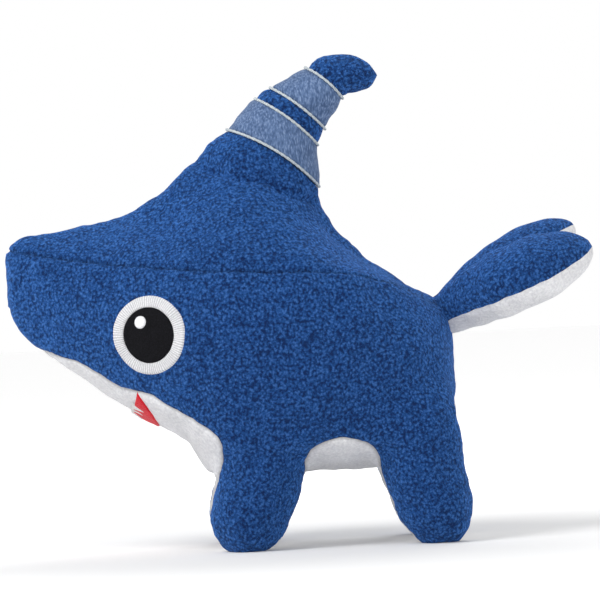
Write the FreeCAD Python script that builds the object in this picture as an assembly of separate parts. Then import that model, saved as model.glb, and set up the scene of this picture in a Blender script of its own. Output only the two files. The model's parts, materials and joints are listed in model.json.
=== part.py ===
import FreeCAD, Part
import math
import os

# A stuffed plush shark standing on four legs: sewn fleece panels over polyester filling.
# Frame: +Z up from the soles, nose towards -Y, tail towards +Y, the shark's left side at +X.
# All lengths are in millimetres.

V = FreeCAD.Vector

# Driving dimensions
LENGTH = 250.0            # nose to tail tip
NOSE_Y = -LENGTH / 2      # front of the snout
SKIN = 2.0                # fabric with its seam allowance
FIN_SKIN = 3.0            # doubled fabric on the dorsal horn
PATCH = 1.0               # height of a sewn-on patch above the fabric
RUN = 0.3                 # clearance between bodies that move
SLACK = 0.1               # air between a stiff skin and the filling inside it
GIVE = 0.5                # the same where a broad panel bulges freely
LEG_X = 29.0              # leg centre, sideways
FRONT_LEG_Y = -24.0
HIND_LEG_Y = 48.5
HIP_Z = 45.0              # height of the leg pivots
HIP_R = 14.5              # rounded leg root, seen from the side
BAY_HALF = 25.0           # half length of the free space round a leg
BAY_TOP = HIP_Z + 1.0
EYE_R = 16.5              # outer radius of the stitched ring
PUPIL_R = 12.1
GLINT_R = 3.0
EYE_X = 38.0
EYE_Y = -63.5
EYE_Z = 92.5
EYE_LOOK = (0.88, -0.47)  # sideways and forward parts of the direction an eye looks in
EYE_SPAN = (-100.0, -30.0)        # stretch of the torso that the eye layers are cut from
GLINT_FORWARD = 3.0
GLINT_RISE = 5.5
MOUTH_HALF = 33.0         # half width of the mouth
MOUTH_FRONT_Y = -73.5     # middle of the front lip
MOUTH_BACK_Y = -62.5      # middle of the back lip
MOUTH_CORNER_Y = -71.0
MOUTH_SPAN = (-118.0, -38.0)      # stretch of the chin that the mouth layers are cut from
MOUTH_LOW_Z = 20.0        # the mouth's outline is pushed up through the chin from here
MOUTH_HIGH_Z = 100.0
TOOTH_PAIRS = 3
TOOTH_PITCH = 8.8
TOOTH_HALF = 3.4          # half width of a tooth at its root
TOOTH_LENGTH = 5.5
FOLD_SLOPE = -20.0        # slope of the fold at the fin's foot, degrees
FOLD_Y = -14.0            # middle of that fold
FOLD_Z = 159.0
FIN_ROOT_R = 18.3
FIN_ROOT_HALF = 25.0      # half length of the rounded fin root along the fold
ROOT_FACETS = 10
RIM_DROP = 5.0            # the torso stops this far under the fold
TRIM_WIDTH = 1.6
NECK_R = 8.6
LOBE_BOW = 6.0            # how far a lobe bulges outward from its straight middle line
LOBE_HEADING = 22.0       # plan angle of a tail lobe away from the middle
LOBE_DROOP = 30.0         # outer edge of a lobe hangs lower than its inner edge
TAIL_PITCH = 22.0
TAIL_ROLL = 8.0
FAR = 400.0               # larger than the object
REFINE = 3                # loft sections per given section
RING_PARTS = 3            # curve points per given point round a torso section
ELLIPSE_POINTS = 16

TAIL_PIVOT = V(0, 62.0, 95.5)

# Torso sections, nose to rump: y, ridge z, tent (x, z), upper seam (x, z), widest (x, z),
# lower seam (x, z), keel z.
TORSO = [
    (NOSE_Y, 130.0, 2.5, 129.0, 4.0, 126.0, 5.0, 118.0, 4.0, 110.0, 107.0),
    (-118.0, 135.5, 5.0, 133.5, 8.5, 130.0, 11.0, 117.0, 9.0, 99.0, 93.5),
    (-104.0, 138.5, 9.0, 134.5, 15.5, 127.0, 20.0, 112.0, 18.0, 86.0, 81.0),
    (-86.0, 141.0, 13.5, 135.0, 24.0, 124.0, 30.0, 105.0, 28.0, 77.5, 68.5),
    (-66.0, 147.0, 15.0, 139.0, 34.0, 121.0, 40.5, 98.0, 37.0, 67.0, 55.0),
    (-50.0, 159.0, 15.0, 147.0, 41.0, 119.0, 47.5, 95.0, 42.0, 56.5, 45.0),
    (-38.0, 172.0, 17.5, 154.0, 45.0, 118.5, 51.0, 92.0, 45.0, 50.0, 37.5),
    (-24.0, 177.0, 22.0, 155.0, 47.0, 118.0, 52.5, 89.5, 46.0, 47.5, 33.0),
    (-8.0, 172.0, 22.0, 150.0, 47.5, 117.0, 53.0, 87.0, 46.0, 46.5, 31.5),
    (3.0, 160.0, 18.0, 146.0, 46.5, 116.5, 52.0, 85.0, 46.0, 46.5, 31.5),
    (10.0, 149.0, 12.5, 141.0, 45.5, 116.0, 51.0, 84.0, 45.5, 46.5, 31.5),
    (16.0, 134.5, 9.5, 131.0, 43.5, 115.0, 50.0, 83.0, 45.0, 46.5, 31.5),
    (24.0, 126.0, 10.0, 124.0, 40.0, 112.5, 48.0, 82.0, 44.5, 46.5, 32.0),
    (36.0, 115.0, 10.0, 113.5, 33.0, 108.5, 46.0, 80.0, 45.0, 46.5, 33.0),
    (50.0, 106.0, 9.0, 105.3, 24.0, 103.0, 41.0, 76.0, 42.0, 47.0, 36.0),
    (60.0, 101.5, 5.0, 101.0, 13.0, 98.0, 29.5, 73.0, 31.0, 51.0, 44.0),
    (64.8, 90.0, 2.0, 89.8, 6.0, 87.5, 13.0, 72.0, 13.0, 59.0, 55.0),
]
UPPER_SEAM, LOWER_SEAM, KEEL = 2, 4, 6   # points round a half section that panels meet at
CHIN_END_Y = -38.0

# Horn sections, foot to tip: centre y, centre z, slope, half length, half thickness.
HORN = [
    (FOLD_Y - 1.0, FOLD_Z - math.tan(math.radians(FOLD_SLOPE)), FOLD_SLOPE, 27.0, 18.0),
    (-9.2, 164.6, -34.3, 23.5, 16.5),
    (-2.8, 179.7, -39.0, 16.8, 13.0),
    (2.2, 185.2, -39.6, 14.8, 11.8),
    (13.9, 195.5, -42.0, 10.5, 9.5),
    (21.5, 199.0, -62.0, 9.0, 8.2),
    (29.5, 199.2, -80.0, 6.8, 6.0),
    (34.5, 198.6, -85.0, 3.0, 2.8),
]
FIN_PIECES = ["fin_base_sleeve", "fin_lower_band", "fin_middle_band", "fin_upper_band"]
FIN_TRIMS = ["fin_lowest_trim", "fin_lower_trim", "fin_upper_trim", "fin_top_trim"]

# Leg sections, sole to rounded root: z, half length, half width.
LEG = [(0.0, 12.0, 10.0), (3.0, 15.0, 13.0), (9.0, 17.2, 15.0), (18.0, 18.6, 16.0),
       (29.0, 18.2, 16.0), (38.0, 14.2, 13.5), (HIP_Z, 13.3, 11.8), (52.0, 11.2, 10.5),
       (57.0, 7.0, 8.0), (59.0, 2.6, 4.0)]
LEG_WIDE = 16.0

# Tail lobe sections along its own axis: distance, half width, half thickness.
LOBE = [(9.5, 8.0, 7.5), (22.0, 13.5, 11.5), (36.0, 17.0, 13.0), (51.0, 16.5, 12.0),
        (63.0, 11.0, 8.0), (70.15, 3.5, 2.8)]


def smooth_slopes(values, closed):
    """Slope at each value that keeps a cubic through them from overshooting."""
    steps = [b - a for a, b in zip(values, values[1:])]
    before_first = steps[-1] if closed else steps[0]
    after_last = steps[0] if closed else steps[-1]
    slopes = []
    for before, after in zip([before_first] + steps, steps + [after_last]):
        if before * after <= 0:
            slopes.append(0.0)
        else:
            slopes.append(2 * before * after / (before + after))
    return slopes


def refined(rows, parts, closed=False):
    """The rows with smoothly blended rows added between each pair."""
    columns = list(zip(*rows))
    slopes = [smooth_slopes(column, closed) for column in columns]
    result = []
    for i in range(len(rows) - 1):
        for part in range(parts):
            t = part / parts
            row = []
            for column, slope in zip(columns, slopes):
                start = column[i] * (1 + 2 * t) * (1 - t) ** 2 + slope[i] * t * (1 - t) ** 2
                finish = column[i + 1] * t * t * (3 - 2 * t) - slope[i + 1] * t * t * (1 - t)
                row.append(start + finish)
            result.append(row)
    result.append(list(rows[-1]))
    return result


def curve_edge(points, closed):
    """A smooth curve through the points, with evenly spaced knots."""
    curve = Part.BSplineCurve()
    count = len(points) + (1 if closed else 0)
    steps = [float(i) for i in range(count)]
    curve.interpolate(Points=points, Parameters=steps, PeriodicFlag=closed)
    return curve.toShape()


def torso_ring(row, inset):
    """Points all round one upright torso section, from the ridge down the left side."""
    y, top, xt, zt, xs, zs, xw, zw, xc, zc, keel = row
    under = (0.5 * xc, zc + 0.72 * (keel - zc))
    half = [(xt, zt), (xs, zs), (xw, zw), (xc, zc), under]
    middle = 0.5 * (top + keel)
    reach = 0.5 * (top - keel)
    left = []
    for x, z in half:
        left.append((max(x - inset, 0.4 * x), z - inset * (z - middle) / reach))
    right = [(-x, z) for x, z in reversed(left)]
    ring = [(0.0, top - inset)] + left + [(0.0, keel + inset)] + right + [(0.0, top - inset)]
    return [V(x, y, z) for x, z in refined(ring, RING_PARTS, True)]


def torso_strip(first, last, start, end, low=0.0, high=1.0):
    """A layer of the torso between two insets, from one ring point to another."""
    wires = []
    for row in refined(TORSO, REFINE):
        if start <= row[0] <= end:
            outer = torso_ring(row, low)[first * RING_PARTS:last * RING_PARTS + 1]
            inner = torso_ring(row, high)[first * RING_PARTS:last * RING_PARTS + 1]
            wires.append(Part.Wire([curve_edge(outer, False),
                                    Part.makeLine(outer[-1], inner[-1]),
                                    curve_edge(inner[::-1], False),
                                    Part.makeLine(inner[0], outer[0])]))
    return Part.makeLoft(wires, True, False)


def torso_core(inset):
    """The torso inside its skin."""
    wires = []
    for row in refined(TORSO, REFINE):
        ring = torso_ring(row, inset)[:-1]
        wires.append(Part.Wire([curve_edge(ring, True)]))
    return Part.makeLoft(wires, True, False)


def slope_vector(degrees):
    """Unit vector in the side view, pointing back and up by the angle."""
    turn = math.radians(degrees)
    return V(0, math.cos(turn), math.sin(turn))


def ellipse_ring(centre, long_axis, short_axis, half_long, half_short):
    """A closed elliptical curve in the plane of two unit vectors."""
    points = []
    for i in range(ELLIPSE_POINTS):
        turn = 2 * math.pi * i / ELLIPSE_POINTS
        points.append(centre + long_axis * (half_long * math.cos(turn))
                      + short_axis * (half_short * math.sin(turn)))
    return Part.Wire([curve_edge(points, True)])


def half_space(point, normal):
    """A large box on the side of a plane that the normal points to."""
    box = Part.makeBox(FAR, FAR, FAR, V(-FAR / 2, -FAR / 2, 0))
    turn = FreeCAD.Rotation(V(0, 0, 1), normal)
    box.Placement = FreeCAD.Placement(point, turn).multiply(box.Placement)
    return box


def barrel(centre, direction, half_long, radius):
    """A rounded barrel about the fold, turned from short straight facets."""
    points = []
    for i in range(ROOT_FACETS + 1):
        turn = math.pi * i / ROOT_FACETS
        points.append(V(radius * math.sin(turn), 0, -half_long * math.cos(turn)))
    profile = Part.Face(Part.makePolygon(points + points[:1]))
    shape = profile.revolve(V(0, 0, 0), V(0, 0, 1), 360)
    shape.Placement = FreeCAD.Placement(centre, FreeCAD.Rotation(V(0, 0, 1), direction))
    return shape


def bar(centre, direction, radius, half):
    """A round bar through a point, reaching half its length each way."""
    return Part.makeCylinder(radius, 2 * half, centre - direction * half, direction)


def fold():
    """Middle of the fold at the fin's foot, its direction and the way up from it."""
    along = slope_vector(FOLD_SLOPE)
    up = slope_vector(FOLD_SLOPE + 90)
    return V(0, FOLD_Y, FOLD_Z), along, up


def horn_part(first, last, inset, overrun=0.0):
    """The horn between two of its sections, pulled in by inset on all sides."""
    wires = []
    straight = last == 1     # the foot fans out so fast that a curved loft would ripple
    rows = refined(HORN, REFINE)[first * REFINE:last * REFINE + 1]
    if overrun > 0:
        rows = [moved_along(rows[0], -overrun)] + rows + [moved_along(rows[-1], overrun)]
    for y, z, slope, half_long, half_thick in rows:
        wires.append(ellipse_ring(V(0, y, z), slope_vector(slope), V(1, 0, 0),
                                  max(half_long - inset, 0.4 * half_long),
                                  max(half_thick - inset, 0.4 * half_thick)))
    return Part.makeLoft(wires, True, straight)


def moved_along(row, distance):
    """A horn section shifted along its own normal."""
    shift = slope_vector(row[2] + 90) * distance
    return [row[0] + shift.y, row[1] + shift.z] + list(row[2:])


def lobe_solid(sign, inset):
    """One puffed tail lobe, in the tail's own frame with the neck at the origin."""
    heading = math.radians(LOBE_HEADING) * sign
    droop = math.radians(LOBE_DROOP) * sign
    ahead = V(math.sin(heading), math.cos(heading), 0)
    across = V(math.cos(heading), -math.sin(heading), 0)
    wide = across * math.cos(droop) - V(0, 0, 1) * math.sin(droop)
    thick = wide.cross(ahead)
    first = LOBE[0][0]
    last = LOBE[-1][0]
    wires = []
    for distance, half_wide, half_thick in refined(LOBE, 2):
        bow = LOBE_BOW * math.sin(math.pi * distance / last)
        shrink = (last - first - 2 * inset) / (last - first)
        place = first + inset + (distance - first) * shrink
        centre = ahead * place + across * (sign * bow)
        wires.append(ellipse_ring(centre, wide, thick,
                                  max(half_wide - inset, 0.35 * half_wide),
                                  max(half_thick - inset, 0.35 * half_thick)))
    return Part.makeLoft(wires, True, False)


def tail_placement():
    """Tilt of the tail from its own frame to its place on the rump."""
    pitch = FreeCAD.Rotation(V(1, 0, 0), TAIL_PITCH)
    roll = FreeCAD.Rotation(V(0, 1, 0), TAIL_ROLL)
    return FreeCAD.Placement(TAIL_PIVOT, pitch.multiply(roll))


def leg_solid(x, y, inset):
    """A stubby leg with a flat sole and a rounded root."""
    low = LEG[0][0]
    high = LEG[-1][0]
    shrink = (high - low - 2 * inset) / (high - low)
    wires = []
    for z, half_long, half_wide in refined(LEG, 2):
        height = low + inset + (z - low) * shrink
        wires.append(ellipse_ring(V(x, y, height), V(0, 1, 0), V(1, 0, 0),
                                  max(half_long - inset, 0.4 * half_long),
                                  max(half_wide - inset, 0.4 * half_wide)))
    return Part.makeLoft(wires, True, False)


def moving_space():
    """Everything cut from the torso so that fin, tail and legs can move."""
    middle, along, up = fold()
    spaces = [barrel(middle, along, FIN_ROOT_HALF + RUN, FIN_ROOT_R + RUN),
              half_space(middle - up * RIM_DROP, up),
              Part.makeSphere(NECK_R + RUN, TAIL_PIVOT)]
    inner_x = LEG_X - LEG_WIDE - 1.0
    for sign in (1, -1):
        for y in (FRONT_LEG_Y, HIND_LEG_Y):
            spaces.append(bar(V(sign * LEG_X, y, HIP_Z), V(1, 0, 0), HIP_R + RUN, LEG_WIDE - 2.0))
            low_x = inner_x if sign > 0 else -FAR / 4
            spaces.append(Part.makeBox(FAR / 4 - inner_x, 2 * BAY_HALF, BAY_TOP + FAR / 4,
                                       V(low_x, y - BAY_HALF, -FAR / 4)))
    return spaces


def without(shape, spaces):
    """The shape with every space cut from it, one after another."""
    for space in spaces:
        shape = shape.cut(space)
    return shape


def crescent():
    """A smile in plan: two arcs that meet at the mouth's corners, as a prism."""
    left = V(-MOUTH_HALF, MOUTH_CORNER_Y, MOUTH_LOW_Z)
    right = V(MOUTH_HALF, MOUTH_CORNER_Y, MOUTH_LOW_Z)
    front = Part.Arc(left, V(0, MOUTH_FRONT_Y, MOUTH_LOW_Z), right).toShape()
    back = Part.Arc(left, V(0, MOUTH_BACK_Y, MOUTH_LOW_Z), right).toShape()
    outline = Part.Face(Part.Wire([front, back]))
    return outline.extrude(V(0, 0, MOUTH_HIGH_Z - MOUTH_LOW_Z))


def largest_solid(shape):
    """The main solid of a cut result, without stray crumbs."""
    return max(shape.Solids, key=lambda solid: solid.Volume)


def save(name, shape):
    """Writes one node and prints what it holds."""
    shape.exportStep("parts/" + name + ".step")
    box = shape.BoundBox
    print(name, len(shape.Solids), "solids", round(shape.Volume), "mm3", shape.isValid(),
          [round(v, 1) for v in (box.XMin, box.YMin, box.ZMin, box.XMax, box.YMax, box.ZMax)])


def build_torso():
    """Skin panels and filling of the torso."""
    spaces = moving_space()
    tail_y = TORSO[-1][0]
    around = 2 * KEEL
    panels = {
        "left_back_panel": (0, UPPER_SEAM, NOSE_Y, tail_y),
        "right_back_panel": (around - UPPER_SEAM, around, NOSE_Y, tail_y),
        "left_side_panel": (UPPER_SEAM, LOWER_SEAM, NOSE_Y, tail_y),
        "right_side_panel": (around - LOWER_SEAM, around - UPPER_SEAM, NOSE_Y, tail_y),
        "chin_panel": (LOWER_SEAM, around - LOWER_SEAM, NOSE_Y, CHIN_END_Y),
        "belly_panel": (LOWER_SEAM, around - LOWER_SEAM, CHIN_END_Y, tail_y),
    }
    for name, (first, last, start, end) in panels.items():
        strip = torso_strip(first, last, start, end, 0.0, SKIN)
        save(name, largest_solid(without(strip, spaces)))
    save("torso_stuffing", largest_solid(without(torso_core(SKIN + GIVE), spaces)))


def build_face():
    """Embroidered eyes and the mouth, each a thin layer lying on the fabric."""
    around = 2 * KEEL
    sides = {"left": (1, UPPER_SEAM, LOWER_SEAM),
             "right": (-1, around - LOWER_SEAM, around - UPPER_SEAM)}
    for name, (sign, first, last) in sides.items():
        layer = torso_strip(first, last, *EYE_SPAN, -PATCH, 0.0)
        glint_layer = torso_strip(first, last, *EYE_SPAN, -2 * PATCH, -PATCH)
        look = V(sign * EYE_LOOK[0], EYE_LOOK[1], 0.0)
        centre = V(sign * EYE_X, EYE_Y, EYE_Z)
        disc = bar(centre, look, EYE_R, EYE_X / 2)
        black = bar(centre, look, PUPIL_R, EYE_X / 2)
        spot = bar(centre + V(0, -GLINT_FORWARD, GLINT_RISE), look, GLINT_R, EYE_X / 2)
        save(name + "_eye_ring", largest_solid(layer.common(disc).cut(black)))
        save(name + "_pupil", largest_solid(layer.common(black)))
        save(name + "_eye_glint", largest_solid(glint_layer.common(spot)))
    chin = torso_strip(LOWER_SEAM, around - LOWER_SEAM, *MOUTH_SPAN, -PATCH, 0.0)
    save("mouth_patch", largest_solid(chin.common(crescent())))
    build_teeth(around)


def build_teeth(around):
    """A row of small felt triangles along the front lip."""
    layer = torso_strip(LOWER_SEAM, around - LOWER_SEAM, *MOUTH_SPAN, -2 * PATCH, -PATCH)
    teeth = []
    for i in range(2 * TOOTH_PAIRS):
        x = (i + 0.5 - TOOTH_PAIRS) * TOOTH_PITCH
        root_y = MOUTH_FRONT_Y + (MOUTH_CORNER_Y - MOUTH_FRONT_Y) * (x / MOUTH_HALF) ** 2
        corners = [V(x - TOOTH_HALF, root_y, MOUTH_LOW_Z), V(x + TOOTH_HALF, root_y, MOUTH_LOW_Z),
                   V(x, root_y + TOOTH_LENGTH, MOUTH_LOW_Z)]
        triangle = Part.Face(Part.makePolygon(corners + corners[:1]))
        prism = triangle.extrude(V(0, 0, MOUTH_HIGH_Z - MOUTH_LOW_Z))
        teeth.append(largest_solid(layer.common(prism)))
    save("teeth", Part.makeCompound(teeth))


def build_fin():
    """The banded horn that folds over sideways at its foot."""
    middle, along, up = fold()
    last = len(HORN) - 1
    top = len(FIN_PIECES)
    for i in range(top):
        bore = horn_part(i, i + 1, FIN_SKIN, 1.0)
        save(FIN_PIECES[i], largest_solid(horn_part(i, i + 1, 0).cut(bore)))
    end = half_space(V(0, HORN[-1][0] - FIN_SKIN, 0), V(0, 1, 0))
    tip_core = horn_part(top, last, FIN_SKIN).cut(end)
    save("fin_tip", largest_solid(horn_part(top, last, 0).cut(tip_core)))
    save("fin_tip_stuffing", tip_core)
    root = barrel(middle, along, FIN_ROOT_HALF, FIN_ROOT_R).cut(half_space(middle, up))
    save("fin_root_stuffing", largest_solid(root.fuse(horn_part(0, 1, FIN_SKIN + SLACK))))
    save("fin_stuffing", horn_part(1, top, FIN_SKIN + 5 * SLACK))
    for i in range(len(FIN_TRIMS)):
        y, z, slope, half_long, half_thick = HORN[i + 1]
        normal = slope_vector(slope + 90)
        ring = ellipse_ring(V(0, y, z) - normal * (TRIM_WIDTH / 2), slope_vector(slope), V(1, 0, 0),
                            half_long + PATCH, half_thick + PATCH)
        disc = Part.Face(ring).extrude(normal * TRIM_WIDTH)
        above = horn_part(i + 1, last if i + 1 == top else i + 2, 0)
        save(FIN_TRIMS[i], largest_solid(disc.cut(horn_part(i, i + 1, 0)).cut(above)))


def build_tail():
    """Neck knuckle and two puffed lobes, blue above and white below."""
    save("tail_neck", Part.makeSphere(NECK_R, TAIL_PIVOT))
    placement = tail_placement()
    socket = Part.makeSphere(NECK_R + RUN, V(0, 0, 0))
    for name, sign in (("left", 1), ("right", -1)):
        near = half_space(V(0, 0, 0), V(sign, 0, 0))
        outer = lobe_solid(sign, 0).common(near).cut(socket)
        inner = lobe_solid(sign, SKIN).common(near).cut(socket)
        skin = outer.cut(inner)
        droop = math.radians(LOBE_DROOP) * sign
        heading = math.radians(LOBE_HEADING) * sign
        across = V(math.cos(heading), -math.sin(heading), 0)
        ahead = V(math.sin(heading), math.cos(heading), 0)
        wide = across * math.cos(droop) - V(0, 0, 1) * math.sin(droop)
        upper = half_space(V(0, 0, 0), wide.cross(ahead))
        pieces = {"_lobe_upper_panel": skin.common(upper), "_lobe_lower_panel": skin.cut(upper),
                  "_lobe_stuffing": inner}
        for suffix, shape in pieces.items():
            solid = largest_solid(shape)
            solid.Placement = placement.multiply(solid.Placement)
            save("tail_" + name + suffix, solid)


def build_legs():
    """Four legs, each an outer and an inner fleece half over its filling."""
    for end, y in (("front", FRONT_LEG_Y), ("hind", HIND_LEG_Y)):
        for side, sign in (("left", 1), ("right", -1)):
            core = leg_solid(sign * LEG_X, y, SKIN)
            skin = leg_solid(sign * LEG_X, y, 0).cut(core)
            outside = half_space(V(sign * LEG_X, y, 0), V(sign, 0, 0))
            name = end + "_" + side + "_leg_"
            save(name + "outer", largest_solid(skin.common(outside)))
            save(name + "inner", largest_solid(skin.cut(outside)))
            save(name + "stuffing", largest_solid(core))


os.makedirs("parts", exist_ok=True)
build_torso()
build_face()
build_fin()
build_tail()
build_legs()
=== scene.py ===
import bpy
import math
import json
import numpy as np
from mathutils import Matrix, Vector
from mathutils.bvhtree import BVHTree


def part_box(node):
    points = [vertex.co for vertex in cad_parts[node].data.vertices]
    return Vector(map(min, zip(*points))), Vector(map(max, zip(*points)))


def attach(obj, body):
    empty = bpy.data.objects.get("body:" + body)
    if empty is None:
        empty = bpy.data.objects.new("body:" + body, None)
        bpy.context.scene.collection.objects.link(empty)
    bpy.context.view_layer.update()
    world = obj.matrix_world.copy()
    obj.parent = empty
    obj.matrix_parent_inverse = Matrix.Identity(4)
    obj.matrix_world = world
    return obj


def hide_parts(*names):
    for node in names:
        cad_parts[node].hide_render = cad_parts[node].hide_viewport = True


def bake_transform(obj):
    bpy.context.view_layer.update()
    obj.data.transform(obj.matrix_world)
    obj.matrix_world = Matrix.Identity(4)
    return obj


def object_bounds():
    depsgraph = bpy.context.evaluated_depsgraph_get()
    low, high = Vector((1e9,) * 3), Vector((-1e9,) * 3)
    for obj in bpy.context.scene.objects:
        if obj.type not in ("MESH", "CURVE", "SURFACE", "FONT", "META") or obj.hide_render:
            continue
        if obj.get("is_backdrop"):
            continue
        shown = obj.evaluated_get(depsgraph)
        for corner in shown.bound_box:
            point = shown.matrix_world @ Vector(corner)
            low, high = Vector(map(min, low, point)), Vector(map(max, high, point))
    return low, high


# A stuffed plush shark: fleece skin panels grown from one smooth body shape, banded fin, eyes, tail.
# Everything is worked out in millimetres in the frame of the CAD model, and written in metres.

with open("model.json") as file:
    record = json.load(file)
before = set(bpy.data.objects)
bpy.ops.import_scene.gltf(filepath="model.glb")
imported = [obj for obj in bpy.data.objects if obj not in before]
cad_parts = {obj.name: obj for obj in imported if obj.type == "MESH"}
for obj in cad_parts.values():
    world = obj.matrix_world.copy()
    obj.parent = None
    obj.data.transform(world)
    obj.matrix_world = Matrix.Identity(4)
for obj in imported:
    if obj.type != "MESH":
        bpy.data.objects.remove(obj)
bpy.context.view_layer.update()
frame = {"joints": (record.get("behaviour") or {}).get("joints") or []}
MM = 0.001


def pivot_of(joint):
    """A joint's pivot in millimetres."""
    found = [j for j in frame["joints"] if j["name"] == joint][0]
    return np.array(found["pos_m"]) / MM


def axis_of(joint):
    """A joint's axis as a unit vector."""
    found = [j for j in frame["joints"] if j["name"] == joint][0]
    direction = np.array(found["axis"], float)
    return direction / np.linalg.norm(direction)


# ---- driving dimensions, in mm

NOSE_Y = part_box("left_side_panel")[0][1] / MM  # tip of the snout
RUMP_Y = 63.9  # back of the rump
STEP = 2.5  # spacing of the first skin mesh
SEAM_DEPTH = 0.9  # how far a seam pulls the fabric in
SEAM_HALF = 1.5  # half width of that valley
FOLD = pivot_of("fin_bend")
FOLD_ALONG = axis_of("fin_bend")
FOLD_UP = np.array([0.0, -FOLD_ALONG[2], FOLD_ALONG[1]])
TAIL_AT = pivot_of("tail_swing")
HIP = {name: pivot_of(name + "_leg_swing") for name in
       ("front_left", "front_right", "hind_left", "hind_right")}

# Side view of the torso, nose to rump, as (y, z): ridge, keel and the two long seams.
RIDGE = [(NOSE_Y, 121), (NOSE_Y + 0.5, 128), (-122.8, 132.8), (-118, 135.8), (-108, 137.6), (-94, 139.2),
         (-82, 141.4), (-70, 145.4), (-60, 150.6), (-52, 157), (-44, 164.5), (-36, 171), (-27, 174),
         (-18, 173), (-8, 166), (2, 155), (9, 146), (13, 139.5), (17, 133.5), (24, 125.5), (34, 116.5),
         (46, 108.2), (56, 103), (61, 98), (RUMP_Y, 86)]
KEEL = [(NOSE_Y, 119), (NOSE_Y + 0.6, 108), (-121, 98.5), (-116, 91.5), (-106, 83.5), (-94, 74.5),
        (-82, 65.5), (-70, 57.5), (-58, 50.8), (-50, 45.5), (-46.5, 38.5), (-42, 33), (-34, 31.2),
        (0, 31), (28, 31.5), (46, 35), (56, 42), (62, 52), (RUMP_Y, 64)]
UPPER_SEAM = [(NOSE_Y, 131), (-107, 127.3), (-84, 123.7), (-63, 121), (-42, 118.8), (-13, 117.1),
              (12, 115.9), (28, 113.2), (44, 107.6), (54, 102), (RUMP_Y, 97)]
LOWER_SEAM = [(NOSE_Y, 96), (-114, 88.6), (-101, 83.7), (-83, 76.5), (-70, 69.8), (-60, 63.6),
              (-51, 58), (-45, 54), (-38, 49.5), (-30, 47.5), (0, 46.3), (28, 46.3), (50, 47),
              (58, 50), (RUMP_Y, 60)]
WIDEST_Z = [(NOSE_Y, 119), (-104, 111), (-86, 103), (-66, 96), (-40, 91), (0, 85), (36, 79), (RUMP_Y, 74)]

# Half widths along the same line, as (y, x).
RIDGE_WIDTH = [(NOSE_Y, 0), (-122, 4.5), (-104, 9), (-84, 13), (-60, 14.5), (-44, 15.5), (-26, 19),
               (-8, 19.5), (2, 16), (9, 11), (16, 8.5), (26, 9), (44, 8), (58, 5), (RUMP_Y, 0)]
SEAM_WIDTH = [(NOSE_Y, 0), (-123, 6.5), (-116, 10.5), (-104, 16), (-84, 25.5), (-64, 35.5), (-46, 43),
              (-24, 47), (0, 47.2), (16, 44), (32, 36), (46, 26.5), (56, 17), (61, 9), (RUMP_Y, 0)]
WIDEST = [(NOSE_Y, 0), (-123, 8), (-116, 13), (-104, 20.5), (-84, 31.5), (-64, 41.5), (-46, 48.8),
          (-24, 52.3), (0, 52.6), (16, 50.8), (32, 47), (46, 41.5), (55.5, 33), (60.5, 23), (RUMP_Y, 0)]
LOWER_WIDTH = [(NOSE_Y, 0), (-123, 6), (-116, 10), (-104, 17.5), (-84, 28.5), (-64, 37.8), (-46, 43.5),
               (-24, 46), (0, 46.2), (16, 45.5), (32, 45), (46, 41), (56, 32.5), (61, 20), (RUMP_Y, 0)]

# Horn sections, foot to tip: centre y, centre z, slope, half length, half thickness.
HORN = [(-14, 140, -10, 22, 24), (-14, 158.5, -24, 25.5, 19.0), (-9.2, 164.8, -34.3, 23.3, 16.5),
        (-2.8, 179.9, -39, 16.8, 13), (2.2, 185.4, -39.6, 14.8, 11.8), (13.9, 195.7, -42, 10.5, 9.5),
        (19.5, 199.0, -58, 9.8, 8.8), (27.3, 199.4, -78, 8.0, 7.2), (32.4, 198.6, -85, 5.8, 5.4),
        (34.4, 198.2, -88, 3.9, 3.6), (35.4, 198.0, -88, 2.0, 1.9), (35.7, 197.9, -88, 0.2, 0.2)]
TRIM_ROWS = (2, 3, 4, 5)  # horn sections that carry a cord

# Leg sections, sole upwards: z, half length, half width, lean of the front and hind leg's centre.
LEG = [(0, 8.2, 8.2, -3.0, 4.4), (2, 11.2, 11, -2.8, 4.3), (5, 13.8, 13.4, -2.6, 4.2),
       (10, 16.4, 15.2, -2.6, 3.2), (16, 18.0, 16, -1.4, 2.6), (24, 18.9, 16.4, 1.2, 0.4),
       (32, 19.0, 16.6, 2.8, -1.4), (45, 18.6, 16.6, 2.8, -1.6), (60, 15, 14, 2, -2), (72, 6, 6, 0, -2)]
HIND_SHARE = 0.94  # a hind leg's length, front to back, against a front leg's
FILLET = 7.0  # softness where a leg grows out of the torso


# ---- curves and small maths

def even_slopes(values, gaps):
    """Slope at each of a row of values that never overshoots between them."""
    steps = np.diff(values, axis=0) / gaps
    slopes = np.zeros_like(values)
    slopes[0], slopes[-1] = steps[0], steps[-1]
    same = steps[:-1] * steps[1:] > 0
    total = np.where(same, steps[:-1] + steps[1:], 1.0)
    slopes[1:-1] = np.where(same, 2 * steps[:-1] * steps[1:] / total, 0.0)
    return slopes


def hermite(t, gap, first, second, first_slope, second_slope):
    """The cubic from one value to the next as t goes from 0 to 1 over the gap."""
    return (first * (1 + 2 * t) * (1 - t) ** 2 + first_slope * gap * t * (1 - t) ** 2
            + second * t * t * (3 - 2 * t) - second_slope * gap * t * t * (1 - t))


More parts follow.
